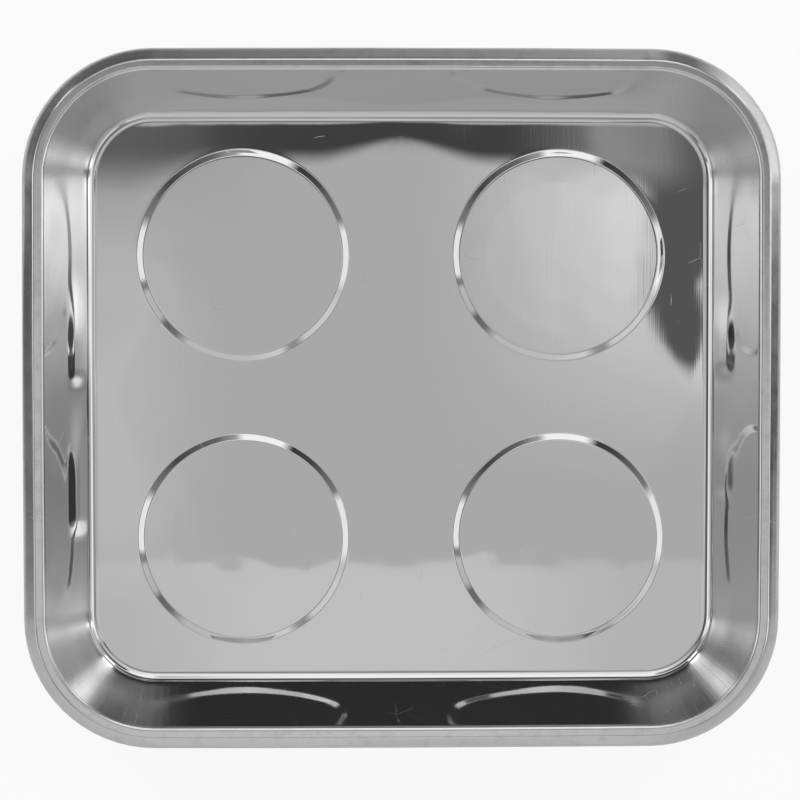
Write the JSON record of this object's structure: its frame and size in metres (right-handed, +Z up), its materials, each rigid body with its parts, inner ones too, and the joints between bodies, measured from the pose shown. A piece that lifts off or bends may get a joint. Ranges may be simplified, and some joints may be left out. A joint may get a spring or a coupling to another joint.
{
  "type": "magnetic parts tray",
  "caption": "Rectangular polished stainless parts tray with rounded corners, a sloping rim and raised round bosses over rubber-covered ring magnets that hold it to steel.",
  "frame": {"origin": "under the middle of the pan, on the plane of the four rubber faces that it stands on", "axes": "+X along the length, +Y to the rear, +Z up out of the tray"},
  "size_m": [0.29, 0.268, 0.0355],
  "materials": {
    "polished_stainless": "mirror polished sheet with fine scratches",
    "plated_steel": "bright zinc plate",
    "ferrite": "ground dark grey ferrite",
    "black_rubber": "matt moulded rubber"
  },
  "bodies": {
    "root": {"tray_pan": "polished_stainless", "weld_stud_front_left": "plated_steel", "magnet_cup_front_left": "plated_steel", "ring_magnet_front_left": "ferrite", "washer_front_left": "plated_steel", "hex_nut_front_left": "plated_steel", "rubber_boot_front_left": "black_rubber", "weld_stud_front_right": "plated_steel", "magnet_cup_front_right": "plated_steel", "ring_magnet_front_right": "ferrite", "washer_front_right": "plated_steel", "hex_nut_front_right": "plated_steel", "rubber_boot_front_right": "black_rubber", "weld_stud_rear_left": "plated_steel", "magnet_cup_rear_left": "plated_steel", "ring_magnet_rear_left": "ferrite", "washer_rear_left": "plated_steel", "hex_nut_rear_left": "plated_steel", "rubber_boot_rear_left": "black_rubber", "weld_stud_rear_right": "plated_steel", "magnet_cup_rear_right": "plated_steel", "ring_magnet_rear_right": "ferrite", "washer_rear_right": "plated_steel", "hex_nut_rear_right": "plated_steel", "rubber_boot_rear_right": "black_rubber"}
  },
  "joints": []
}
